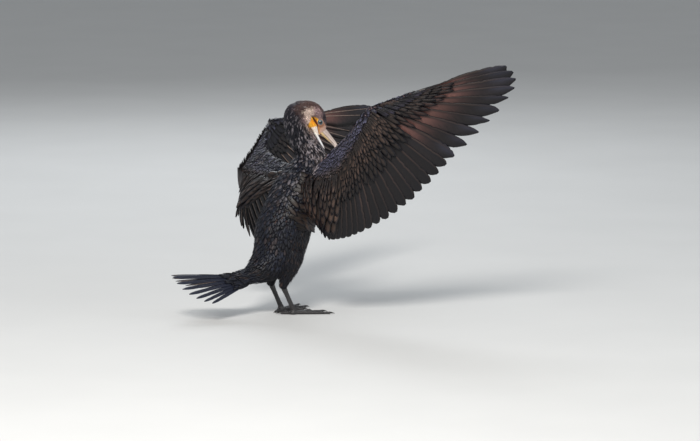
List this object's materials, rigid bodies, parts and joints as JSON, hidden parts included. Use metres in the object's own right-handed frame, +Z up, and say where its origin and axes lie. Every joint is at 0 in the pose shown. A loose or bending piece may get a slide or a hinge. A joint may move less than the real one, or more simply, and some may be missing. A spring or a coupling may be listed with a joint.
{
  "type": "great cormorant, still model",
  "caption": "Life-size still model of a great cormorant standing with both wings raised and open to dry, its head turned over the right side and its bill slightly open.",
  "frame": {"origin": "on the floor, under the middle of the bird's box", "axes": "+X is the way the body faces, +Y the bird's left, +Z up"},
  "size_m": [0.732, 0.7834, 0.5924],
  "materials": {
    "plumage": "body feathers, blue-black with a soft gloss, mottled silver-grey on the neck and pale on the cheek",
    "flight_feathers": "dark brown-black flight feathers with glossy edges",
    "bill": "horn, ivory with darker streaks",
    "eye": "clear wet eye with a green iris",
    "leg_skin": "black scaled skin with webs"
  },
  "bodies": {
    "root": {"head": "plumage", "neck": "plumage", "torso": "plumage", "thigh_left": "plumage", "thigh_right": "plumage", "wing_left_arm": "flight_feathers", "wing_left_hand": "flight_feathers", "wing_right_arm": "flight_feathers", "wing_right_hand": "flight_feathers", "tail": "flight_feathers", "upper_bill": "bill", "lower_bill": "bill", "eye_left": "eye", "eye_right": "eye", "tarsus_left": "leg_skin", "tarsus_right": "leg_skin", "foot_left": "leg_skin", "foot_right": "leg_skin"}
  },
  "joints": []
}
